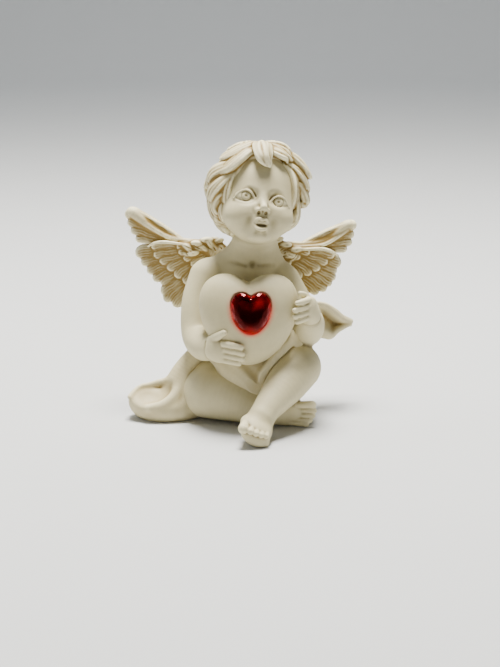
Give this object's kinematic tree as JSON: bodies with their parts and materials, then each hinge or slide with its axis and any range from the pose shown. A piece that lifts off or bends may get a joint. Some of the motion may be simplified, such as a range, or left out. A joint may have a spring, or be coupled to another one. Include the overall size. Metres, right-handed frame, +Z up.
{
  "type": "seated cherub figurine",
  "caption": "Small seated winged cherub in cream cast resin, hugging a puffed heart that is set with a faceted red heart-cut stone; it rests on its sanded seat.",
  "frame": {"origin": "on the table, at the middle of the figurine's bounding box seen from above", "axes": "+Z up, the figurine faces -Y, so its own left hand is on the +X side"},
  "size_m": [0.0476, 0.0348, 0.0544],
  "materials": {
    "cream_resin": "matt cast polyresin, cream",
    "washed_resin": "matt cast polyresin with an ochre wash in the recesses",
    "sash_resin": "matt cast polyresin, light wash",
    "red_acrylic": "clear red faceted acrylic",
    "foil": "silvered back of the stone"
  },
  "bodies": {
    "root": {"child": "cream_resin", "hair": "washed_resin", "sash": "sash_resin", "heart": "cream_resin", "wing_right": "washed_resin", "wing_left": "washed_resin", "heart_stone": "red_acrylic", "stone_foil": "foil"}
  },
  "joints": []
}
